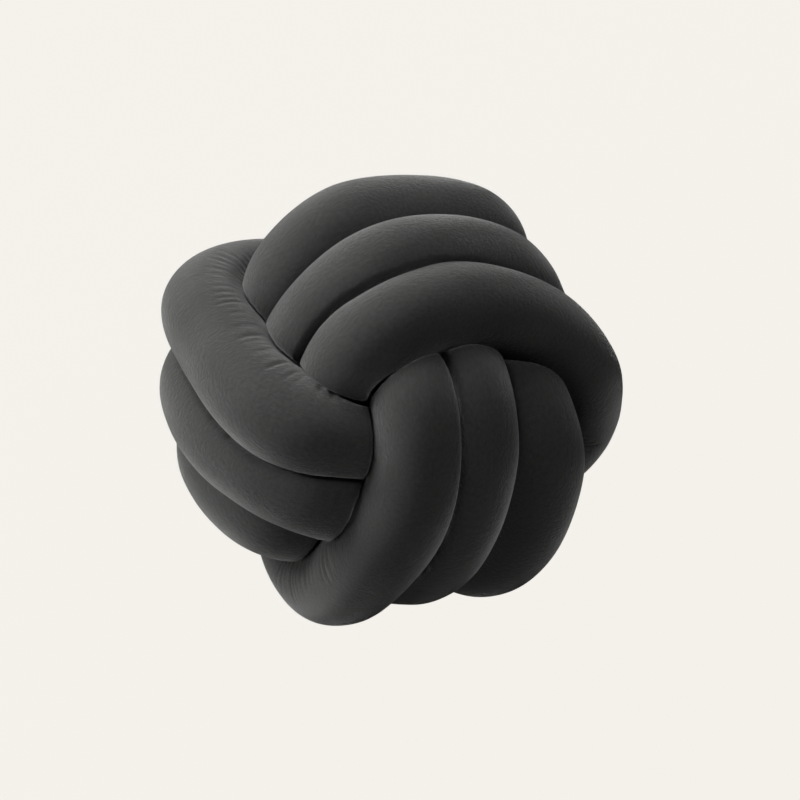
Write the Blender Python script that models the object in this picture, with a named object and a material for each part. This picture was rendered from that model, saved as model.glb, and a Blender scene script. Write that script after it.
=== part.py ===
"""Knot cushion: one long stuffed tube of knitted cloth, laid three times round the same
three-lobed knot until it makes a ball.

Metres, +Z up. The cushion lies on its back with the whorl of the knot facing up, and
the origin is on the floor under the middle of the ball.

Places on the ball are given as an azimuth about +Z, counted from +X, and a polar angle
down from +Z, both in degrees, with the distance from the ball's middle in pitches.
One pitch is the spacing of two turns that lie side by side.
"""
import math

import bpy
import numpy as np

# ---- driving sizes ----
PITCH = 0.059             # spacing of neighbouring turns
FREE_RADIUS = 0.52        # radius of the tube where nothing presses on it, in pitches
SLIM_RADIUS = 0.47        # the same where the tube is pulled tight over three others
SLIM_STRETCH = (1.4, 5.0)    # where that is, in pitches along the tube
GAP = 0.001               # air between two turns that press on each other
PRESS_SHARPNESS = 12.0    # how abruptly a round side turns into a pressed one
LAY_OVER = 0.80           # how much more of the space an upper turn takes than a lower one
MOST_SHARE = 0.78         # the most of the space between two turns that the upper one takes
UNDERPASS = 1.05          # distance from the middle where turns cross under others, in pitches
BALL_MIDDLE = (-0.0014, 0.0, 0.1430)    # low enough for the lowest turns to press flat on the floor
STATIONS = 440            # rings of points along the tube
SIDES = 12                # points round each ring
SAME_BEND = 0.62          # stretch of tube too short to press on itself, in pitches
END_ROUND = 0.45          # length of each rounded end, in pitches

# ---- the route of the tube ----
# Each of the three bundles is three turns side by side, named from the whorl outwards.
# A row is one place along the bundle, from where it comes out under the bundle before
# to where it goes under the next. Azimuths are counted from the bundle's own turn.
# columns: inner azimuth, polar, distance, middle azimuth, polar, distance, outer azimuth, polar, distance
TOP_BUNDLE = (
    (   164,    19, 1.53,    166,  48.5, 1.36,    147,  73.5, 1.40),
    (   109,  18.5, 1.95,    122,    38, 1.82,  128.5,  67.5, 1.82),
    (  58.5,  33.5, 2.08,     88,    43, 2.03,  109.5,    69, 2.01),
    (    25,    59, 2.10,   56.5,    64, 1.94,   91.5,  78.5, 2.01),
    (    10,    74, 2.12,   40.5,  79.5, 1.85,   60.5,    99, 2.10),
    (    -3,    94, 2.08,      6,   128, 2.10,      4, 159.5, 2.17),
    (   -16,    99, 1.87,  -42.5,   109, 1.58,    -61,   132, 1.44),
)
LEFT_BUNDLE = (
    (   148,    15, 1.51,    143,    43, 1.46,  130.5,  73.5, 1.24),
    (    78,    27, 1.96,    112,  39.5, 1.88,  109.5,    70, 1.74),
    (    55,    46, 2.02,   73.5,    62, 1.98,   93.5,    81, 1.90),
    (  40.5,  67.5, 2.10,     52,    91, 2.06,   80.5,  97.5, 2.01),
    (    33,    82, 2.28,   33.5,   122, 2.09,     67,   123, 2.20),
    (  20.5,    98, 2.09,    0.5,   127, 2.17,    3.5, 157.5, 2.19),
    (  -7.5,    96, 1.30,  -38.5, 105.5, 1.48,    -57,   134, 1.36),
)
LOWER_BUNDLE = (
    ( 186.5,    16, 1.36,    158,    36, 1.31,    143,    57, 1.26),
    (   126,     9, 1.90,    132,    25, 1.84,    122,  50.5, 1.77),
    (    56,    22, 2.00,     86,    31, 1.97,  107.5,  54.5, 1.92),
    (    27,    49, 2.03,   53.5,    54, 1.90,   95.5,  62.5, 1.97),
    (    13,    83, 2.10,   35.5,  95.5, 1.81,     63,   100, 2.08),
    (     5,  94.5, 2.04,    7.5, 126.5, 2.11,   15.5,   155, 2.17),
    (    -9,    98, 1.64,    -34,   116, 1.58,    -62,   144, 1.35),
)
BUNDLES = (
    ("top", TOP_BUNDLE, 0.0),
    ("left", LEFT_BUNDLE, -240.0),
    ("lower", LOWER_BUNDLE, -480.0),
)
# The two ends of the tube are tucked in near the middle: azimuth, polar, distance.
FIRST_END = (208.0, 22.0, 0.63)
LAST_END = (-392.0, 126.0, 0.86)

CHARCOAL = (0.030, 0.030, 0.031, 1.0)


def place(azimuth, polar, distance):
    """The point at an azimuth and polar angle in degrees, at a distance from the middle."""
    a = math.radians(azimuth)
    p = math.radians(polar)
    return distance * np.array([math.sin(p) * math.cos(a), math.sin(p) * math.sin(a), math.cos(p)])


def waypoints():
    """The places that the tube passes, in order: three inner turns, three middle, three outer.

    Between two turns the tube dips to the underpass, half way round to where it comes out.
    """
    turns = []
    for lane in range(3):
        for _, table, turn in BUNDLES:
            turns.append([place(row[3 * lane] + turn, row[3 * lane + 1], row[3 * lane + 2])
                          for row in table])
    points = [place(*FIRST_END)]
    for number, turn in enumerate(turns):
        points.extend(turn)
        if number + 1 < len(turns):
            leave = turn[-1] / np.linalg.norm(turn[-1])
            enter = turns[number + 1][0] / np.linalg.norm(turns[number + 1][0])
            under = leave + enter
            points.append(UNDERPASS * under / np.linalg.norm(under))
    points.append(place(*LAST_END))
    return np.array(points)


def smooth_line(points, count):
    """A natural cubic spline through the points, cut into count stations of equal length."""
    step = np.sqrt(np.linalg.norm(np.diff(points, axis=0), axis=1))
    knots = np.concatenate([[0.0], np.cumsum(step)])
    size = len(points)
    matrix = np.eye(size)
    right = np.zeros((size, 3))
    slope = np.diff(points, axis=0) / step[:, None]
    for i in range(1, size - 1):
        matrix[i, i - 1] = step[i - 1]
        matrix[i, i] = 2.0 * (step[i - 1] + step[i])
        matrix[i, i + 1] = step[i]
        right[i] = 6.0 * (slope[i] - slope[i - 1])
    bend = np.linalg.solve(matrix, right)
    fine = np.linspace(0.0, knots[-1], 30 * size)
    k = np.clip(np.searchsorted(knots, fine, side="right") - 1, 0, size - 2)
    h = step[k][:, None]
    a = (knots[k + 1] - fine)[:, None] / h
    b = (fine - knots[k])[:, None] / h
    curve = a * points[k] + b * points[k + 1]
    curve += ((a ** 3 - a) * bend[k] + (b ** 3 - b) * bend[k + 1]) * h * h / 6.0
    run = np.linalg.norm(np.diff(curve, axis=0), axis=1)
    length = np.concatenate([[0.0], np.cumsum(run)])
    even = np.linspace(0.0, length[-1], count)
    line = np.stack([np.interp(even, length, curve[:, axis]) for axis in range(3)], axis=1)
    return line, even


def carried_frame(line):
    """Two directions across the tube at each station, carried along it without twist."""
    tangent = np.gradient(line, axis=0)
    tangent /= np.linalg.norm(tangent, axis=1)[:, None]
    across = np.empty_like(line)
    start = np.cross(tangent[0], (0.0, 0.0, 1.0))
    across[0] = start / np.linalg.norm(start)
    for i in range(1, len(line)):
        side = across[i - 1] - tangent[i] * np.dot(across[i - 1], tangent[i])
        across[i] = side / np.linalg.norm(side)
    return across, np.cross(tangent, across)


def eased(x):
    """0 below 0, 1 above 1, and an even ease between."""
    x = np.clip(x, 0.0, 1.0)
    return x * x * (3.0 - 2.0 * x)


def free_radius(even):
    """Radius where nothing presses, at each length along the tube, in pitches."""
    begin, end = SLIM_STRETCH
    pulled = eased(even - begin) * eased(end - even)
    return FREE_RADIUS + (SLIM_RADIUS - FREE_RADIUS) * pulled


def pressed_radii(line, even, rays):
    """Radius of the tube along each ray, in pitches.

    A turn is round until it meets a neighbour. Two turns share the space between their
    middles in halves when they lie side by side. Where one lies over another it takes more
    of the space, up to its full radius, and the lower one gives way. The shares meet at a
    flat wall, and a power mean rounds the corner between the round side and the wall.
    """
    gap = GAP / PITCH
    height = np.linalg.norm(line, axis=1)
    free = free_radius(even)
    radii = np.empty(rays.shape[:2])
    for i in range(len(line)):
        to_other = line - line[i]
        distance = np.linalg.norm(to_other, axis=1)
        near = (distance < 2.4 * FREE_RADIUS) & (np.abs(even - even[i]) > SAME_BEND)
        distance = distance[near]
        toward = rays[i] @ to_other[near].T / distance
        higher = height[i] - height[near]
        upper_free = np.where(higher > 0.0, free[i], free[near])
        most = np.minimum(np.maximum(upper_free, distance / 2.0), MOST_SHARE * distance)
        upper = np.minimum(distance / 2.0 + LAY_OVER * np.abs(higher) / (2.0 * distance), most)
        share = np.where(higher > 0.0, upper, distance - upper) - gap / 2.0
        wall = np.min(share / np.maximum(toward, 1e-6), axis=1, initial=100.0)
        round_side = free[i] ** -PRESS_SHARPNESS
        radii[i] = (round_side + wall ** -PRESS_SHARPNESS) ** (-1.0 / PRESS_SHARPNESS)
    return radii


def end_rounding(even):
    """Factor that rounds both ends: 0 at the very end, 1 past the rounded length."""
    from_end = np.minimum(even, even[-1] - even) / END_ROUND
    return np.sqrt(1.0 - (1.0 - np.clip(from_end, 0.0, 1.0)) ** 2)


def tube_points():
    """Rings of points along the tube in metres, resting flat on the floor, and its two tips."""
    line, even = smooth_line(waypoints(), STATIONS)
    across, other = carried_frame(line)
    angle = 2.0 * math.pi * np.arange(SIDES) / SIDES
    rays = (across[:, None, :] * np.cos(angle)[None, :, None]
            + other[:, None, :] * np.sin(angle)[None, :, None])
    radii = pressed_radii(line, even, rays) * end_rounding(even)[:, None]
    rings = line[:, None, :] + rays * radii[:, :, None]
    rings = rings[1:-1]
    tips = line[[0, -1]]
    rings = rings * PITCH + np.array(BALL_MIDDLE)
    tips = tips * PITCH + np.array(BALL_MIDDLE)
    rings[:, :, 2] = np.maximum(rings[:, :, 2], 0.0)
    return rings, tips


def skin(rings, tips):
    """Faces over the rings, closed at each tip, all facing out."""
    count, sides, _ = rings.shape
    points = [tuple(p) for p in rings.reshape(-1, 3)]
    points.append(tuple(tips[0]))
    points.append(tuple(tips[1]))
    faces = []
    for i in range(count - 1):
        for k in range(sides):
            n = (k + 1) % sides
            faces.append((i * sides + k, i * sides + n, (i + 1) * sides + n, (i + 1) * sides + k))
    first = count * sides
    last = first + 1
    end = (count - 1) * sides
    for k in range(sides):
        n = (k + 1) % sides
        faces.append((first, n, k))
        faces.append((last, end + k, end + n))
    return points, faces


def cloth_material():
    """Charcoal knitted cloth."""
    material = bpy.data.materials.new("charcoal_knit")
    material.use_nodes = True
    shader = material.node_tree.nodes["Principled BSDF"]
    shader.inputs["Base Color"].default_value = CHARCOAL
    shader.inputs["Roughness"].default_value = 0.95
    shader.inputs["Metallic"].default_value = 0.0
    return material


def build():
    """Clears the scene and makes the cushion."""
    for thing in list(bpy.data.objects):
        bpy.data.objects.remove(thing, do_unlink=True)
    points, faces = skin(*tube_points())
    mesh = bpy.data.meshes.new("stuffed_tube")
    mesh.from_pydata(points, [], faces)
    mesh.validate()
    mesh.shade_smooth()
    mesh.materials.append(cloth_material())
    tube = bpy.data.objects.new("stuffed_tube", mesh)
    bpy.context.scene.collection.objects.link(tube)


build()
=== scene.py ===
# %% [markdown]
# # Knot cushion
#
# The cushion is one long tube of knitted cloth, stuffed, and laid three times round the same
# three-lobed knot until it makes a ball. It has no other parts. This lesson lays the tube along
# its route, presses its turns against each other, gathers the cloth where the tube bends, and
# gives it charcoal knit.

# %% [markdown]
# ## 1. The imported part
#
# The imported part fixes the size and the place of the cushion: metres, +Z up, the floor at z = 0
# under the middle of the ball.

# %% The imported part
import math

import bpy
import numpy as np
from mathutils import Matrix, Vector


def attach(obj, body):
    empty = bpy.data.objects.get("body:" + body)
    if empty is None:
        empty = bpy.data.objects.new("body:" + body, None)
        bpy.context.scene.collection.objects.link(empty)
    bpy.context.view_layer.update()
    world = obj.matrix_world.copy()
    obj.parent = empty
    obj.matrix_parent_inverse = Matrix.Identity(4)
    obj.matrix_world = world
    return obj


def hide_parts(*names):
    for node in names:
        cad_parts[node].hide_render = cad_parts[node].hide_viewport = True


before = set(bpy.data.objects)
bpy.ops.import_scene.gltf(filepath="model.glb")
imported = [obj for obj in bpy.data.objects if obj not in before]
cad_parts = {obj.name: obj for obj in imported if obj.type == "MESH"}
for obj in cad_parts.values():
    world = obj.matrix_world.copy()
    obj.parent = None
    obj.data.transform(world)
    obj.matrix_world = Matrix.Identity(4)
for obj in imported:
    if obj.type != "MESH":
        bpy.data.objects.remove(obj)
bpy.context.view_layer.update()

MM = 0.001

# %% [markdown]
# ## 2. Driving sizes
#
# On the real cushion one measure rules the rest: the spacing of two turns that lie side by side,
# here called a pitch. The tube is a little fatter than that, so neighbours press flat against
# each other. Lengths that belong to the knot are in pitches, lengths that belong to the cloth
# are in metres.

# %% Driving sizes
PITCH = 0.059             # spacing of neighbouring turns
FREE_RADIUS = 0.52        # radius of the tube where nothing presses on it, in pitches
BALL_MIDDLE = np.array([-0.0014, 0.0, 0.1430])

print("spacing of two turns, mm:", round(PITCH / MM, 1),
      " the tube across, mm:", round(2.0 * FREE_RADIUS * PITCH / MM, 1))

# %% [markdown]
# ## 3. The route of the tube
#
# Seen from above the knot is a whorl of three bundles, each of three turns side by side. Every
# bundle comes out from under the one before, arches over the ball and dives under the next. A
# row of a table is one place along a bundle, given as an azimuth about +Z and an angle down from
# +Z, like longitude and latitude on a globe, and a distance from the middle in pitches. A few
# places a turn are enough, because a smooth line runs through them.

# %% The route of the tube
# columns: azimuth, polar and distance of the inner turn, of the middle turn and of the outer turn
TOP_BUNDLE = (
    (   164,    19, 1.53,    166,  48.5, 1.36,    147,  73.5, 1.40),
    (   109,  18.5, 1.95,    122,    38, 1.82,  128.5,  67.5, 1.82),
    (  58.5,  33.5, 2.08,     88,    43, 2.03,  109.5,    69, 2.01),
    (    25,    59, 2.10,   56.5,    64, 1.94,   91.5,  78.5, 2.01),
    (    10,    74, 2.12,   40.5,  79.5, 1.85,   60.5,    99, 2.10),
    (    -3,    94, 2.08,      6,   128, 2.10,      4, 159.5, 2.17),
    (   -16,    99, 1.87,  -42.5,   109, 1.58,    -61,   132, 1.44),
)
LEFT_BUNDLE = (
    (   148,    15, 1.51,    143,    43, 1.46,  130.5,  73.5, 1.24),
    (    78,    27, 1.96,    112,  39.5, 1.88,  109.5,    70, 1.74),
    (    55,    46, 2.02,   73.5,    62, 1.98,   93.5,    81, 1.90),
    (  40.5,  67.5, 2.10,     52,    91, 2.06,   80.5,  97.5, 2.01),
    (    33,    82, 2.28,   33.5,   122, 2.09,     67,   123, 2.20),
    (  20.5,    98, 2.09,    0.5,   127, 2.17,    3.5, 157.5, 2.19),
    (  -7.5,    96, 1.30,  -38.5, 105.5, 1.48,    -57,   134, 1.36),
)
LOWER_BUNDLE = (
    ( 186.5,    16, 1.36,    158,    36, 1.31,    143,    57, 1.26),
    (   126,     9, 1.90,    132,    25, 1.84,    122,  50.5, 1.77),
    (    56,    22, 2.00,     86,    31, 1.97,  107.5,  54.5, 1.92),
    (    27,    49, 2.03,   53.5,    54, 1.90,   95.5,  62.5, 1.97),
    (    13,    83, 2.10,   35.5,  95.5, 1.81,     63,   100, 2.08),
    (     5,  94.5, 2.04,    7.5, 126.5, 2.11,   15.5,   155, 2.17),
    (    -9,    98, 1.64,    -34,   116, 1.58,    -62,   144, 1.35),
)
# Each bundle's table counts its azimuths from the bundle's own turn about +Z.
BUNDLES = ((TOP_BUNDLE, 0.0), (LEFT_BUNDLE, -240.0), (LOWER_BUNDLE, -480.0))
LAPS = ("inner_turns", "middle_turns", "outer_turns")

print("turns:", len(BUNDLES) * len(LAPS), " places in each:", len(TOP_BUNDLE))

# %% [markdown]
# ## 4. The places in order
#
# The tube lays three inner turns, one in each bundle, then three middle ones and three outer
# ones. Between two turns it dips towards the middle of the ball, where it crosses under the
# others. Both ends are tucked in near the middle.

# %% The places in order
UNDERPASS = 1.05          # distance from the middle where turns cross under others, in pitches
# columns: azimuth, polar, distance
FIRST_END = (208.0, 22.0, 0.63)
LAST_END = (-392.0, 126.0, 0.86)


def place(azimuth, polar, distance):
    """The point at an azimuth and polar angle in degrees, at a distance from the middle."""
    a = math.radians(azimuth)
    p = math.radians(polar)
    return distance * np.array([math.sin(p) * math.cos(a), math.sin(p) * math.sin(a), math.cos(p)])


def waypoints():
    """The places that the tube passes, in order, and the number of the place where each lap ends.

    The place between two turns lies half way round from where the tube leaves the ball's surface
    to where it comes out again: the sum of both directions, UNDERPASS long.
    """
    turns = []
    for lane in range(len(LAPS)):
        for table, turn in BUNDLES:
            turns.append([place(row[3 * lane] + turn, row[3 * lane + 1], row[3 * lane + 2])
                          for row in table])
    points = [place(*FIRST_END)]
    lap_ends = [0]
    for number, turn in enumerate(turns):
        points.extend(turn)
        if number + 1 < len(turns):
            leave = turn[-1] / np.linalg.norm(turn[-1])
            enter = turns[number + 1][0] / np.linalg.norm(turns[number + 1][0])
            under = leave + enter
            points.append(UNDERPASS * under / np.linalg.norm(under))
        if (number + 1) % len(BUNDLES) == 0 and number + 1 < len(turns):
            lap_ends.append(len(points) - 1)
    points.append(place(*LAST_END))
    lap_ends.append(len(points) - 1)
    return np.array(points), lap_ends


route, lap_ends = waypoints()
print("places on the route:", len(route), " laps end at:", lap_ends)

# %% [markdown]
# ## 5. The middle line
#
# A stuffed tube bends evenly, with no corners, so its middle line is a natural cubic spline: the
# bend changes steadily from place to place and fades out at both ends. Lengths along it are
# measured on many short steps.

# %% The middle line
STEPS_PER_PLACE = 120     # short steps on which lengths are measured, for each place


def spline_bends(points):
    """The spline's knots and its second derivative at each, from the usual three-term equations."""
    step = np.sqrt(np.linalg.norm(np.diff(points, axis=0), axis=1))
    knots = np.concatenate([[0.0], np.cumsum(step)])
    size = len(points)
    matrix = np.eye(size)
    right = np.zeros((size, 3))
    slope = np.diff(points, axis=0) / step[:, None]
    inner = np.arange(1, size - 1)
    matrix[inner, inner - 1] = step[:-1]
    matrix[inner, inner] = 2.0 * (step[:-1] + step[1:])
    matrix[inner, inner + 1] = step[1:]
    right[inner] = 6.0 * (slope[1:] - slope[:-1])
    return knots, np.linalg.solve(matrix, right)


def on_spline(points, knots, bends, at):
    """Points of the spline: a weighted mean of the two places, plus a cubic term for the bend."""
    k = np.clip(np.searchsorted(knots, at, side="right") - 1, 0, len(points) - 2)
    h = (knots[k + 1] - knots[k])[:, None]
    a = (knots[k + 1] - at)[:, None] / h
    b = 1.0 - a
    cubic = (a ** 3 - a) * bends[k] + (b ** 3 - b) * bends[k + 1]
    return a * points[k] + b * points[k + 1] + cubic * h * h / 6.0


knots, bends = spline_bends(route)
fine_at = np.linspace(0.0, knots[-1], STEPS_PER_PLACE * len(route))
fine_line = on_spline(route, knots, bends, fine_at)
fine_step = np.linalg.norm(np.diff(fine_line, axis=0), axis=1)
fine_length = np.concatenate([[0.0], np.cumsum(fine_step)])
print("length of the tube, m:", round(fine_length[-1] * PITCH, 3))

# %% [markdown]
# ## 6. Where the rings go
#
# The tube is drawn as rings of points. They stand close where the tube can show and further
# apart in the hidden stretches under the bundles. Each lap of three turns is one closed mesh,
# and two laps meet deep inside the ball, so no join shows.

# %% Where the rings go
RINGS = 1026              # rings of points in each lap
SHOWS_FROM = 1.55         # turns this far from the middle can show, in pitches
HIDDEN_SPACING = 2.6      # rings of the hidden stretches stand this many times further apart
CROWDING_BLEND = 0.25     # distance over which the spacing changes, in pitches
LAP_SAMPLES = 6000        # places on a lap at which the crowding is added up


def ring_lengths(first, last):
    """Lengths along the tube for one lap's rings: equal steps of the running sum of crowding."""
    low, high = np.interp([knots[first], knots[last]], fine_at, fine_length)
    along = np.linspace(low, high, LAP_SAMPLES)
    middle = on_spline(route, knots, bends, np.interp(along, fine_length, fine_at))
    shows = (np.linalg.norm(middle, axis=1) - SHOWS_FROM) / CROWDING_BLEND
    crowding = 1.0 / HIDDEN_SPACING + (1.0 - 1.0 / HIDDEN_SPACING) * np.clip(shows, 0.0, 1.0)
    total = np.concatenate([[0.0], np.cumsum((crowding[1:] + crowding[:-1]) / 2.0)])
    return np.interp(np.linspace(0.0, total[-1], RINGS), total, along)


lap_lengths = [ring_lengths(a, b) for a, b in zip(lap_ends[:-1], lap_ends[1:])]
for name, lengths in zip(LAPS, lap_lengths):
    steps = np.diff(lengths) * PITCH / MM
    print(name, "ring spacing, mm:", round(steps.min(), 2), "to", round(steps.max(), 2))

# %% [markdown]
# ## 7. Rays across the tube
#
# Every ring needs two directions across the tube. They are carried from ring to ring without
# twisting, so the ribs of the knit run straight along the tube as they do on the real one.

# %% Rays across the tube
SIDES = 96                # points round each ring


def carried_frame(line, length):
    """Two directions across the tube at each ring, carried along it without twist."""
    tangent = np.gradient(line, length, axis=0)
    tangent /= np.linalg.norm(tangent, axis=1)[:, None]
    across = np.empty_like(line)
    start = np.cross(tangent[0], (0.0, 0.0, 1.0))
    across[0] = start / np.linalg.norm(start)
    for i in range(1, len(line)):
        side = across[i - 1] - tangent[i] * np.dot(across[i - 1], tangent[i])
        across[i] = side / np.linalg.norm(side)
    return tangent, across, np.cross(tangent, across)


all_lengths = np.concatenate([lap_lengths[0]] + [lengths[1:] for lengths in lap_lengths[1:]])
ring_line = on_spline(route, knots, bends, np.interp(all_lengths, fine_length, fine_at))
tangent, across, other = carried_frame(ring_line, all_lengths)
angle = 2.0 * math.pi * np.arange(SIDES) / SIDES
rays = (across[:, None, :] * np.cos(angle)[None, :, None]
        + other[:, None, :] * np.sin(angle)[None, :, None])
print("rings:", len(ring_line), " rays:", rays.shape[0] * rays.shape[1])

# %% [markdown]
# ## 8. How thick the tube is by itself
#
# A stuffed tube is as thick everywhere as its cloth allows, except where it is pulled tight. One
# stretch, the inner turn of the top bundle, is pulled tight over three others. It thins there
# and thickens again slowly, so the change is eased.

# %% How thick the tube is by itself
SLIM_RADIUS = 0.47        # radius where the tube is pulled tight, in pitches
SLIM_STRETCH = (1.4, 5.0)    # where that is, in pitches along the tube
SLIM_EASE = 1.0           # length over which the tube turns slim, in pitches


def eased(x):
    """0 below 0, 1 above 1, and an even ease between: 3x^2 - 2x^3."""
    x = np.clip(x, 0.0, 1.0)
    return x * x * (3.0 - 2.0 * x)


def free_radius(length):
    """Radius where nothing presses: FREE_RADIUS, easing to SLIM_RADIUS in the slim stretch."""
    begin, end = SLIM_STRETCH
    pulled = eased((length - begin) / SLIM_EASE) * eased((end - length) / SLIM_EASE)
    return FREE_RADIUS + (SLIM_RADIUS - FREE_RADIUS) * pulled


slim_mm = round(free_radius(all_lengths).min() * PITCH / MM, 1)
print("free radius, mm:", round(FREE_RADIUS * PITCH / MM, 1), " where it is slim:", slim_mm)

# %% [markdown]
# ## 9. Turns that press on each other
#
# Two turns that lie side by side press flat against each other, half way between their middle
# lines. Where one lies over another, the upper one keeps its round shape and the lower one gives
# way, so the flat wall between them moves towards the lower one's middle line. Past the edge of
# that wall the lower turn swells again, up to the round side that lies on it. A power mean of
# the free radius and the place where a ray ends rounds the corner between the round side and the
# pressed one, which gives the soft crease.

# %% Turns that press on each other
GAP = 0.0003              # air between two turns that press on each other
PRESS_SHARPNESS = 30.0    # how abruptly a round side turns into a pressed one
LAY_OVER = 0.80           # how much more of the space an upper turn takes than a lower one
MOST_SHARE = 0.78         # the most of the space between two turns that the upper one takes
GRAZE = 0.06              # how slowly a turn swells again beside one that lies on it
SAME_BEND = 0.62          # stretch of tube too short to press on itself, in pitches
WALL_STATIONS = 1600      # places on the middle line that press on their neighbours
MEETING_REACH = 2.4       # turns further apart than this many free radii don't meet
NOTHING_MET = 100.0       # where a ray ends that meets no other turn, in pitches
TURNED_AWAY = 1e-6        # stands for u.v where a ray points away from the other turn
LET_GO = 1e-3             # divides the way to a round side that a ray misses altogether

wall_length = np.linspace(0.0, fine_length[-1], WALL_STATIONS)
wall_line = on_spline(route, knots, bends, np.interp(wall_length, fine_length, fine_at))
wall_height = np.linalg.norm(wall_line, axis=1)


def pressed_radii(line, length, rays, gap):
    """Radius of the tube along each ray, in pitches.

    Two stretches d apart share d. The upper one gets d / 2 + LAY_OVER h / (2 d), h being how much
    further out it lies, but never more than a full radius or MOST_SHARE of d. With v from this
    stretch to the other, a share s puts up a wall along the ray u at s d / (u.v). The other
    stretch is only there inside its own round side, which the ray meets at
    u.v - sqrt((u.v)^2 - d^2 + free^2), so the ray goes on to the later of the two. A ray that
    just misses the round side is let go over the width GRAZE. The ray ends at the nearest of
    these places, and the radius is (free^-p + end^-p)^(-1/p), p being PRESS_SHARPNESS.
    """
    radii = np.empty(rays.shape[:2])
    own = free_radius(length)
    others = free_radius(wall_length)
    for i in range(len(line)):
        to_other = wall_line - line[i]
        distance = np.linalg.norm(to_other, axis=1)
        near = distance < MEETING_REACH * FREE_RADIUS
        near &= np.abs(wall_length - length[i]) > SAME_BEND
        distance = distance[near]
        toward = rays[i] @ to_other[near].T
        higher = np.linalg.norm(line[i]) - wall_height[near]
        free = np.where(higher > 0.0, own[i], others[near])
        most = np.minimum(np.maximum(free, distance / 2.0), MOST_SHARE * distance)
        moved = np.abs(higher) * LAY_OVER / (2.0 * distance)
        upper = np.minimum(distance / 2.0 + moved, most)
        share = np.where(higher > 0.0, upper, distance - upper) - gap / 2.0
        wall = share * distance / np.maximum(toward, TURNED_AWAY)
        inside = toward ** 2 - distance ** 2 + (others[near] + gap) ** 2
        side = toward - np.sqrt(np.maximum(inside, 0.0))
        side = side / np.clip(1.0 + inside / GRAZE, LET_GO, 1.0)
        radii[i] = np.min(np.maximum(wall, side), axis=1, initial=NOTHING_MET)
    round_side = own[:, None] ** -PRESS_SHARPNESS
    return (round_side + radii ** -PRESS_SHARPNESS) ** (-1.0 / PRESS_SHARPNESS)


radii = pressed_radii(ring_line, all_lengths, rays, GAP / PITCH)
print("radius, mm:", round(radii.min() * PITCH / MM, 1), "to", round(radii.max() * PITCH / MM, 1))

# %% [markdown]
# ## 10. Soft creases and round ends
#
# Cloth can't turn a corner of no width, so the surface is evened out a little over each crease.
# The two ends of the tube are sewn shut and stuffed, which makes them round. They are tucked in
# out of sight.

# %% Soft creases and round ends
EVENED = 1                # how often the cloth's surface is evened out over a crease
END_ROUND = 0.45          # length of each rounded end, in pitches


def end_rounding(length):
    """Factor that rounds both ends, sqrt(1 - (1 - x)^2), x going from 0 to 1 in END_ROUND."""
    from_end = np.minimum(length, fine_length[-1] - length) / END_ROUND
    return np.sqrt(1.0 - (1.0 - np.clip(from_end, 0.0, 1.0)) ** 2)


def evened(field, times):
    """Each value becomes a quarter, half and quarter mix with its neighbours, both ways."""
    for _ in range(times):
        field = 0.5 * field + 0.25 * (np.roll(field, 1, axis=1) + np.roll(field, -1, axis=1))
        padded = np.pad(field, ((1, 1), (0, 0)), mode="edge")
        field = 0.5 * field + 0.25 * (padded[:-2] + padded[2:])
    return field


radii = evened(radii, EVENED) * end_rounding(all_lengths)[:, None]
print("rings in the rounded ends:", int((end_rounding(all_lengths) < 1.0).sum()))

# %% [markdown]
# ## 11. Noise for hand-made things
#
# Folds and stuffing are never quite regular. This is plain value noise: random numbers on a
# grid, joined smoothly, the same on every run because the numbers come from a fixed seed.

# %% Noise for hand-made things
NOISE_SIZE = 256          # random values along each side of the grid before they repeat
SWELL_WAVES = 28          # sine waves that add up to a swell
SWELL_SPREAD = (0.7, 1.5)    # shortest and longest of them, as parts of the wavelength


def noise(x, y, seed):
    """Smooth random values from -1 to 1 over the plane, one unit between independent ones."""
    table = np.random.default_rng(seed).uniform(-1.0, 1.0, (NOISE_SIZE, NOISE_SIZE))
    column = np.floor(x).astype(int)
    row = np.floor(y).astype(int)
    a = eased(x - column)
    b = eased(y - row)
    corner = [table[(column + i) % NOISE_SIZE, (row + j) % NOISE_SIZE]
              for i, j in ((0, 0), (1, 0), (0, 1), (1, 1))]
    return ((corner[0] * (1 - a) + corner[1] * a) * (1 - b)
            + (corner[2] * (1 - a) + corner[3] * a) * b)


def soft_noise(points, wavelength, seed):
    """Slow random swell in space from -1 to 1: a mean of sine waves in random directions."""
    random = np.random.default_rng(seed)
    direction = random.normal(size=(SWELL_WAVES, 3))
    direction /= np.linalg.norm(direction, axis=1)[:, None]
    turns = direction / (wavelength * random.uniform(*SWELL_SPREAD, SWELL_WAVES))[:, None]
    phase = random.uniform(0.0, 1.0, SWELL_WAVES)
    swell = np.zeros(points.shape[:-1])
    for k in range(SWELL_WAVES):
        swell += np.sin(2.0 * math.pi * (points @ turns[k] + phase[k]))
    return np.clip(swell / math.sqrt(SWELL_WAVES), -1.0, 1.0)


print("random values in the noise table:", NOISE_SIZE ** 2)

# %% [markdown]
# ## 12. Where the cloth gathers
#
# Where the tube bends, there is too much cloth for the inside of the bend, and it gathers into
# small folds across the tube. How much it gathers is the shortening of the cloth: the bend of
# the middle line times how far the surface reaches towards the inside. Two stretches are
# gathered on their side as well, where the tube is pulled tight against its neighbour: the edge
# of the left turn that lies over the top ones, and the lower turn where it dives.

# %% Where the cloth gathers
NO_DIRECTION = 1e-9       # keeps a direction of no length from being divided by 0
# The side gathers. Columns: where one begins and ends along the tube in pitches, its side in
# degrees from the ball's middle, its reach round the tube in degrees, its shortening
SIDE_GATHERS = (
    ( 8.0, 13.0, -104.0, 46.0, 0.36),
    (17.7, 21.2, -106.0, 56.0, 0.40),
)


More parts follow.
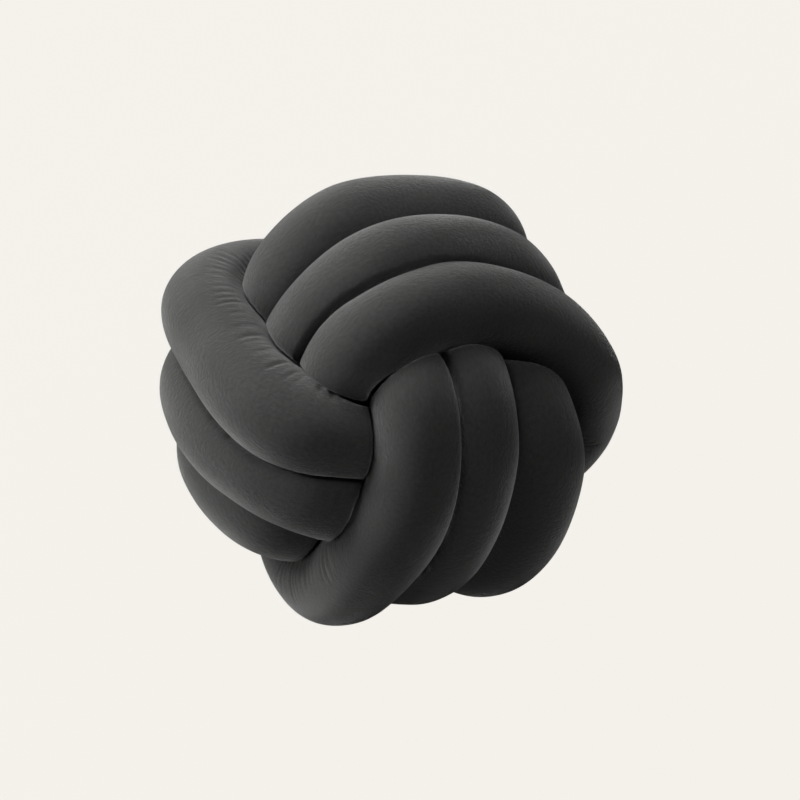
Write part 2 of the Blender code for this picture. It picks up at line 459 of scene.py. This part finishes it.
def around_from(rays, tangent, toward):
    """Angle of each ray round the tube, counted from the direction toward."""
    toward = toward - tangent * np.einsum("rc,rc->r", tangent, toward)[:, None]
    toward /= np.maximum(np.linalg.norm(toward, axis=1), NO_DIRECTION)[:, None]
    side = np.cross(tangent, toward)
    return np.arctan2(np.einsum("rkc,rc->rk", rays, side), np.einsum("rkc,rc->rk", rays, toward))


def side_shortening(length, side_angle):
    """Shortening of the side gathers: highest on their side, falling evenly to 0 at their reach."""
    total = np.zeros(side_angle.shape)
    for begin, end, side, reach, amount in SIDE_GATHERS:
        along = np.minimum(length - begin, end - length)[:, None]
        away = np.abs((np.degrees(side_angle) - side + 180.0) % 360.0 - 180.0)
        total = np.maximum(total, amount * eased(along) * eased(1.0 - away / reach))
    return total


bend = np.gradient(tangent, all_lengths, axis=0)
short = np.einsum("rkc,rc->rk", rays, bend) * radii
from_middle = around_from(rays, tangent, -ring_line)
short = np.maximum(short, side_shortening(all_lengths, from_middle))
print("shortening reaches", round(short.max(), 2))

# %% [markdown]
# ## 13. The folds
#
# Each fold is a soft valley across the tube, about 7 mm from the next, with its own depth. It
# reaches round the tube as far as the cloth there is shortened enough. Folds stray from an even
# spacing and lean a little, because nobody lays them.

# %% The folds
FOLD_SPACING = 0.0066     # from one fold to the next
FOLD_DEPTH = 0.0010       # of the deepest fold
FOLD_WIDTH = 0.27         # half width of a valley, as a part of the spacing
FOLD_FROM = 0.10          # shortening of the cloth at which folds begin
FOLD_FULL = 0.36          # shortening at which they are deepest
WANDER = 0.45             # how far a fold strays from its place, as a part of the spacing
WANDER_LENGTH = 2.3       # spacings over which that changes
SLANT = 0.35              # how far a fold leans, as a part of the spacing
SLANT_LENGTH = 6.0        # spacings along the tube over which that changes
SLANT_GIRTH = 4.0         # spacings round the tube over which that changes
SHALLOWEST = 0.15         # depth of the faintest fold, as a part of the deepest
LATEST = 0.7              # how late the last folds begin: 0 at FOLD_FROM, 1 at FOLD_FULL
FOLD_COUNT = 4096         # folds in the table of depths and reaches
FOLD_SEED = 11


def folds(along, around, short, spacing, seed):
    """Depth of the folds from 0 to 1, at each place of the cloth.

    The fold's number is along / spacing, strayed and slanted. Its valley is exp(-(x / w)^2), x
    being how far the place is from its middle line in spacings and w FOLD_WIDTH. Each number
    has its own depth, and its own shortening at which it begins, from a random table.
    """
    wander = WANDER * noise(along / (WANDER_LENGTH * spacing), np.zeros_like(along), seed)
    slant = SLANT * noise(along / (SLANT_LENGTH * spacing), around / (SLANT_GIRTH * spacing),
                          seed + 1)
    count = along / spacing + wander + slant
    number = np.floor(count).astype(int)
    across = count - number - 0.5
    random = np.random.default_rng(seed + 2)
    depth = random.uniform(SHALLOWEST, 1.0, FOLD_COUNT)[number % FOLD_COUNT]
    reach = random.uniform(0.0, LATEST, FOLD_COUNT)[number % FOLD_COUNT]
    start = FOLD_FROM + (FOLD_FULL - FOLD_FROM) * reach
    strength = eased((short - start) / (FOLD_FULL - FOLD_FROM))
    return np.exp(-((across / FOLD_WIDTH) ** 2)) * depth * strength


along_m = np.repeat(all_lengths[:, None] * PITCH, SIDES, axis=1)
around_m = from_middle * radii * PITCH
fold_depth = folds(along_m, around_m, short, FOLD_SPACING, FOLD_SEED)
print("deepest fold, mm:", round(fold_depth.max() * FOLD_DEPTH / MM, 2))

# %% [markdown]
# ## 14. The finished surface
#
# The filling is pushed in by hand, so the tube swells and thins a little from place to place.
# Swells and folds only ever go inwards from the pressed tube, so two turns never cut into each
# other. The lowest turns press flat on the floor.

# %% The finished surface
LUMP_DEPTH = 0.0007       # how far the tube thins between two lumps of filling
LUMP_LENGTH = 0.055       # from one lump to the next
LUMP_SEED = 5

surface = ring_line[:, None, :] + rays * radii[:, :, None]
surface = surface * PITCH + BALL_MIDDLE
lumps = LUMP_DEPTH * 0.5 * (1.0 + soft_noise(surface, LUMP_LENGTH, LUMP_SEED))
surface = surface - rays * (lumps + FOLD_DEPTH * fold_depth)[:, :, None]
surface[:, :, 2] = np.maximum(surface[:, :, 2], 0.0)
middle_m = ring_line * PITCH + BALL_MIDDLE
print("lowest and highest point, mm:", [round(float(z) / MM, 1)
                                        for z in (surface[:, :, 2].min(), surface[:, :, 2].max())])

# %% [markdown]
# ## 15. Faces and flat cloth
#
# A tube drawn in rings is a grid of four-sided faces, closed at both ends. The cloth that makes
# it is laid out flat beside it, with the way round the tube and the way along it in units of
# 100 mm, so that the knit keeps its true size everywhere.

# %% Faces and flat cloth
CLOTH_UNIT = 0.1          # one unit of the flat cloth's layout, in metres
CAP_CORNERS = 6           # corners of the end caps for each side: two triangles of three


def tube_faces(rings, sides):
    """Corner numbers of the faces: four-sided ones between rings, then a fan over each end.

    Face (i, k) joins points k and k + 1 of ring i to the same points of ring i + 1. Point
    rings * sides is the middle of the first end, and the one after it that of the last end.
    """
    column = np.arange(sides)
    following = (column + 1) % sides
    start = np.arange(rings - 1)[:, None] * sides
    quads = np.stack([start + column, start + following,
                      start + sides + following, start + sides + column], axis=2).reshape(-1, 4)
    first, last = rings * sides, rings * sides + 1
    end = (rings - 1) * sides
    caps = np.concatenate([
        np.stack([np.full(sides, first), following, column], axis=1),
        np.stack([np.full(sides, last), end + column, end + following], axis=1)])
    return quads, caps


def flat_layout(lengths, sides):
    """Place of each face corner on the flat cloth: the way round the tube and the way along it.

    The way round is a free tube's girth times k / sides, and the way along is the length, both
    divided by CLOTH_UNIT. The end caps, deep inside, lie at 0.
    """
    column = np.arange(sides)
    rings = len(lengths)
    girth = 2.0 * math.pi * FREE_RADIUS * PITCH / CLOTH_UNIT
    u = np.stack([column, column + 1, column + 1, column], axis=1) / sides * girth
    v = lengths * PITCH / CLOTH_UNIT
    low = np.repeat(v[:-1], sides)
    high = np.repeat(v[1:], sides)
    faces = np.stack([np.tile(u, (rings - 1, 1)).ravel(),
                      np.stack([low, low, high, high], axis=1).ravel()], axis=1)
    return np.concatenate([faces, np.zeros((CAP_CORNERS * sides, 2))])


girth_mm = 2.0 * math.pi * FREE_RADIUS * PITCH / MM
print("flat cloth, mm:", round(girth_mm), "by", round(all_lengths[-1] * PITCH / MM))

# %% [markdown]
# ## 16. Three closed pieces
#
# Each lap becomes one closed mesh. Two laps end a hair apart, deep inside the ball, so that
# neither shares a face with the other.

# %% Three closed pieces
PIECE_GAP = 0.0004        # between two laps


def lap_piece(name, points, middles, lengths):
    """A closed tube from rings of points, with its flat layout."""
    rings, sides, _ = points.shape
    quads, caps = tube_faces(rings, sides)
    corners = np.concatenate([quads.ravel(), caps.ravel()])
    sizes = np.concatenate([np.full(len(quads), 4), np.full(len(caps), 3)])
    mesh = bpy.data.meshes.new(name)
    mesh.vertices.add(rings * sides + 2)
    mesh.vertices.foreach_set("co", np.concatenate([points.reshape(-1, 3), middles]).ravel())
    mesh.loops.add(len(corners))
    mesh.loops.foreach_set("vertex_index", corners)
    mesh.polygons.add(len(sizes))
    mesh.polygons.foreach_set("loop_start", np.concatenate([[0], np.cumsum(sizes)[:-1]]))
    mesh.update(calc_edges=True)
    mesh.validate()
    mesh.shade_smooth()
    layout = flat_layout(lengths, sides)
    mesh.uv_layers.new(name="flat_cloth").data.foreach_set("uv", layout.ravel())
    piece = bpy.data.objects.new(name, mesh)
    bpy.context.scene.collection.objects.link(piece)
    return piece


pieces = []
for lap, name in enumerate(LAPS):
    low = lap * (RINGS - 1)
    part = slice(low, low + RINGS)
    points = surface[part].copy()
    middles = middle_m[[low, low + RINGS - 1]].copy()
    if lap > 0:
        points[0] += tangent[low] * PIECE_GAP
        middles[0] += tangent[low] * PIECE_GAP
    piece = lap_piece(name, points, middles, all_lengths[part])
    pieces.append(piece)
    print(name, "faces:", len(piece.data.polygons))

# %% [markdown]
# ## 17. Colours and nodes
#
# Colours are written as they are read off a colour chart, in sRGB hex. Blender's shaders count
# light, so one function turns them to linear values. Another small one adds a node to a
# material, with its settings, its values and its links.

# %% Colours and nodes
def linear(hex_colour):
    """sRGB hex as linear red, green, blue and alpha: c / 12.92 near black, else a power of 2.4."""
    channels = [int(hex_colour[i:i + 2], 16) / 255.0 for i in (1, 3, 5)]
    light = [c / 12.92 if c <= 0.04045 else ((c + 0.055) / 1.055) ** 2.4 for c in channels]
    return (*light, 1.0)


def add(tree, kind, inputs=(), **settings):
    """Adds a shader node: settings are its own properties, inputs are (socket, value or link)."""
    node = tree.nodes.new("ShaderNode" + kind)
    for name, value in settings.items():
        setattr(node, name, value)
    for socket, value in inputs:
        if isinstance(value, bpy.types.NodeSocket):
            tree.links.new(value, node.inputs[socket])
        else:
            node.inputs[socket].default_value = value
    return node


print("charcoal #2b2b2a, linear:", [round(c, 4) for c in linear("#2b2b2a")])

# %% [markdown]
# ## 18. Ribs, stitches and fuzz
#
# The cover is polyester jersey: fine yarn, knitted on a machine in narrow ribs along the tube,
# then lightly brushed. The ribs are 1 mm wide and their stitches 0.8 mm high, which a picture of
# the whole cushion hardly shows. Brushing raises short fibres that hide most of the rib. Real
# fibres are far finer than a pixel, so their grain is drawn as coarse as it has to be to show.
# All patterns come from the flat layout, in true millimetres, so they follow the tube round
# every bend.

# %% Ribs, stitches and fuzz
RIB = 1.0                 # width of one rib of stitches, in mm
ROW = 0.8                 # height of one row of stitches, in mm
STITCH_RELIEF = 0.25      # height of a stitch, as a part of a rib's height
KNIT_RELIEF = 0.12        # height of the ribs, as a part of the cloth's relief
FUZZ_RELIEF = 1.3         # height of the raised fibres, as a part of the cloth's relief
TO_MM = CLOTH_UNIT / MM   # mm in one unit of the flat cloth


def knit_height(tree, layout, fuzz):
    """Height of the cloth: KNIT_RELIEF times ribs and stitches, plus FUZZ_RELIEF times the fuzz.

    A rib's height goes evenly from 0 to 1 and back across its width. A stitch is a sine along
    the rib, pushed forward on its crest, and STITCH_RELIEF high.
    """
    split = add(tree, "SeparateXYZ", [(0, layout)]).outputs
    ribs = add(tree, "Math", [(0, split[0]), (1, TO_MM / RIB)], operation="MULTIPLY")
    half_rib = add(tree, "Math", [(0, ribs.outputs[0]), (1, 0.5)], operation="PINGPONG")
    rib = add(tree, "Math", [(0, half_rib.outputs[0]), (1, 2.0)], operation="MULTIPLY").outputs[0]
    rows = add(tree, "Math", [(0, split[1]), (1, TO_MM / ROW)], operation="MULTIPLY")
    leaning = add(tree, "Math", [(0, rows.outputs[0]), (1, rib)], operation="ADD")
    turned = add(tree, "Math", [(0, leaning.outputs[0]), (1, 2.0 * math.pi)], operation="MULTIPLY")
    stitch = add(tree, "Math", [(0, turned.outputs[0])], operation="SINE")
    knit = add(tree, "Math", [(0, stitch.outputs[0]), (1, STITCH_RELIEF), (2, rib)],
               operation="MULTIPLY_ADD")
    knit_part = add(tree, "Math", [(0, knit.outputs[0]), (1, KNIT_RELIEF)], operation="MULTIPLY")
    return add(tree, "Math", [(0, fuzz), (1, FUZZ_RELIEF), (2, knit_part.outputs[0])],
               operation="MULTIPLY_ADD").outputs[0]


print("ribs round the tube:", round(girth_mm / RIB))

# %% [markdown]
# ## 19. Charcoal knit
#
# The raised fibres give the cloth a soft uneven grain and catch light at grazing angles, which
# is what the eye takes for soft cloth, so the shader has sheen and next to no gloss. Charcoal
# yarn isn't one even colour either: its tone goes paler and darker with the fuzz. Part of that is
# the yarn's own mixed fibres, and part is painted shade, darker where the fuzz is low between
# the fibres. It is also a little paler and darker in patches.

# %% Charcoal knit
# darkest tone, low in the fuzz: the yarn's own colour with painted shade between the fibres
DARK_YARN_AND_FIBRE_SHADE = "#2b2b2a"
PALE_YARN = "#4c4c4b"
FIBRE_TIPS = "#d8d8d6"
RELIEF = 0.6              # height of the cloth's relief, in mm
FUZZ_SCALE = 0.45         # grains of fuzz in each mm
PATCH_SCALE = 0.03        # paler and darker patches in each mm
PATCH_TONE = 0.07         # how much paler and darker they are


def charcoal_knit():
    """Charcoal jersey: relief as a bump; tone with painted shade in fuzz valleys, and patches."""
    material = bpy.data.materials.new("charcoal_knit")
    material.use_nodes = True
    tree = material.node_tree
    shader = tree.nodes["Principled BSDF"]
    layout = add(tree, "UVMap", uv_map="flat_cloth").outputs["UV"]
    in_mm = add(tree, "VectorMath", [(0, layout), (3, TO_MM)], operation="SCALE").outputs[0]
    fuzz = add(tree, "TexNoise", [("Vector", in_mm), ("Scale", FUZZ_SCALE), ("Detail", 5.0),
                                  ("Roughness", 0.7)]).outputs["Fac"]
    patches = add(tree, "TexNoise", [("Vector", in_mm), ("Scale", PATCH_SCALE), ("Detail", 3.0)])
    bump = add(tree, "Bump", [("Strength", 1.0), ("Distance", RELIEF * MM),
                              ("Height", knit_height(tree, layout, fuzz))])
    # painted shade: the tone darkens where the fuzz is low, between the fibres, on top of the
    # yarn's own mixed tone
    tone_and_fibre_shade = add(tree, "Mix", [(0, fuzz), (6, linear(DARK_YARN_AND_FIBRE_SHADE)), (7, linear(PALE_YARN))],
               data_type="RGBA")
    shade = add(tree, "MapRange", [("Value", patches.outputs["Fac"]), ("From Min", 0.3),
                                   ("From Max", 0.7), ("To Min", 1.0 - PATCH_TONE),
                                   ("To Max", 1.0 + PATCH_TONE)])
    colour = add(tree, "VectorMath", [(0, tone_and_fibre_shade.outputs[2]), (3, shade.outputs[0])],
                 operation="SCALE")
    tree.links.new(colour.outputs[0], shader.inputs["Base Color"])
    tree.links.new(bump.outputs[0], shader.inputs["Normal"])
    shader.inputs["Roughness"].default_value = 0.92
    shader.inputs["Specular IOR Level"].default_value = 0.25
    shader.inputs["Sheen Weight"].default_value = 1.0
    shader.inputs["Sheen Roughness"].default_value = 0.35
    shader.inputs["Sheen Tint"].default_value = linear(FIBRE_TIPS)
    return material


cloth = charcoal_knit()
print("nodes in the cloth:", len(cloth.node_tree.nodes))

# %% [markdown]
# ## 20. What the three pieces stand for
#
# The three meshes are one tube on the real cushion, so each of them stands for the imported part's
# one solid, wears the same cloth and stays with it. They are cloth over filling, which gives way
# when it is leant on.

# %% What the three pieces stand for
for piece in pieces:
    piece.data.materials.append(cloth)
    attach(piece, "root")
    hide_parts("stuffed_tube")
print("pieces dressed:", [piece.name for piece in pieces])

# %% [markdown]
# ## 21. Floor and backdrop
#
# The cushion lies on a plain pale floor that runs on into a plain pale backdrop all round, like
# the paper sweep of a photo studio. Most of its paleness is its own even glow, so no patch of
# shade shows beside the ball, and it throws none of that glow on the cloth.

# %% Floor and backdrop
PALE = "#f5f2ec"
UNDER_GLOW = "#1d1c1c"    # the little that the paper throws back of the lights
GLOW = 0.985              # strength of the paper's own even glow
FLOOR_REACH = 5.0         # from the middle to where the floor starts to rise
WALL_HEIGHT = 6.0
SWEEP_RADIUS = 2.0        # of the round corner between floor and wall
SWEEP_STEPS = 17          # places on the round corner
SWEEP_SIDES = 96          # places round the whole sweep
FLOOR_DROP = 0.0003       # the floor lies this much under the cushion


def paper_sweep():
    """A surface turned about +Z: flat floor, a quarter circle of SWEEP_RADIUS, an upright wall."""
    corner = np.linspace(0.0, math.pi / 2.0, SWEEP_STEPS)
    rounded = FLOOR_REACH + SWEEP_RADIUS * np.sin(corner)
    rise = SWEEP_RADIUS * (1.0 - np.cos(corner))
    reach = np.concatenate([[0.0], rounded, [FLOOR_REACH + SWEEP_RADIUS]])
    height = np.concatenate([[0.0], rise, [WALL_HEIGHT]]) - FLOOR_DROP
    turn = np.linspace(0.0, 2.0 * math.pi, SWEEP_SIDES, endpoint=False)
    points = np.stack([reach[:, None] * np.cos(turn), reach[:, None] * np.sin(turn),
                       np.repeat(height[:, None], len(turn), axis=1)], axis=2).reshape(-1, 3)
    ring = np.arange(len(turn))
    after = (ring + 1) % len(turn)
    start = np.arange(len(reach) - 1)[:, None] * len(turn)
    faces = np.stack([start + ring, start + len(turn) + ring,
                      start + len(turn) + after, start + after], axis=2).reshape(-1, 4)
    mesh = bpy.data.meshes.new("paper_sweep")
    mesh.from_pydata(points.tolist(), [], faces.tolist())
    mesh.shade_smooth()
    return mesh


def pale_paper():
    """Matt pale paper with an even glow."""
    material = bpy.data.materials.new("pale_paper")
    material.use_nodes = True
    shader = material.node_tree.nodes["Principled BSDF"]
    shader.inputs["Base Color"].default_value = linear(UNDER_GLOW)
    shader.inputs["Roughness"].default_value = 1.0
    shader.inputs["Specular IOR Level"].default_value = 0.0
    shader.inputs["Emission Color"].default_value = linear(PALE)
    shader.inputs["Emission Strength"].default_value = GLOW
    return material


floor = bpy.data.objects.new("floor", paper_sweep())
floor.data.materials.append(pale_paper())
floor.visible_diffuse = False
floor.visible_glossy = False
bpy.context.scene.collection.objects.link(floor)
print("floor and backdrop, faces:", len(floor.data.polygons))

# %% [markdown]
# ## 22. Soft lights
#
# The bright upper-left rim of every turn and the dark lower-right sides tell where the light
# came from: one large soft light low at the upper left, two weaker ones above it, and faint ones
# from the left, the right and below. A light's place is a direction from the ball: which way it
# lies as seen from above, and how high.

# %% Soft lights
# columns: name, direction in degrees from +X, height in degrees, size in m, power in W
SOFT_LIGHTS = (
    ("key", 150.0, 6.0, 0.9, 41.5),
    ("upper_key", 105.0, 18.0, 0.9, 14.0),
    ("upper_rim", 105.0, 5.0, 0.9, 12.5),
    ("left_rim", 188.0, 5.0, 0.9, 12.5),
    ("left_fill", 200.0, 30.0, 0.9, 3.0),
    ("right_fill", 45.0, 46.0, 0.9, 9.5),
    ("lower_fill", 265.0, 6.0, 0.9, 7.0),
)
LIGHT_DISTANCE = 2.0
WORLD_GLOW = 0.005        # light from all round, for the deepest creases


def soft_light(name, around, above, size, power):
    """A square soft light in a direction from the ball's middle, facing it."""
    light = bpy.data.lights.new(name, "AREA")
    light.size = size
    light.energy = power
    lamp = bpy.data.objects.new(name, light)
    heading = Vector(place(around, 90.0 - above, LIGHT_DISTANCE))
    lamp.location = Vector(BALL_MIDDLE) + heading
    lamp.rotation_euler = heading.to_track_quat("Z", "Y").to_euler()
    bpy.context.scene.collection.objects.link(lamp)


for light in SOFT_LIGHTS:
    soft_light(*light)
world = bpy.data.worlds.new("studio")
world.use_nodes = True
world.node_tree.nodes["Background"].inputs["Color"].default_value = linear(PALE)
world.node_tree.nodes["Background"].inputs["Strength"].default_value = WORLD_GLOW
bpy.context.scene.world = world
bpy.context.scene.view_settings.view_transform = "Standard"
power = sum(light[-1] for light in SOFT_LIGHTS)
print("soft lights:", len(SOFT_LIGHTS), " their power in W:", power)

# %% [markdown]
# ## 23. The camera
#
# The camera looks straight down on the whorl from 1.5 m above it, so the picture shows the
# cushion as it is seen when it lies on its back.

# %% The camera
LENS = 100.125            # focal length in mm
SENSOR = 36.0             # width of the sensor in mm
ABOVE_BALL = np.array([0.0068, 0.0005, 1.475])    # from the ball's middle to the camera

camera = bpy.data.cameras.new("camera")
camera.lens = LENS
camera.sensor_width = SENSOR
viewer = bpy.data.objects.new("camera", camera)
viewer.location = BALL_MIDDLE + ABOVE_BALL
bpy.context.scene.collection.objects.link(viewer)
bpy.context.scene.camera = viewer
print("camera at, m:", [round(c, 4) for c in viewer.location])
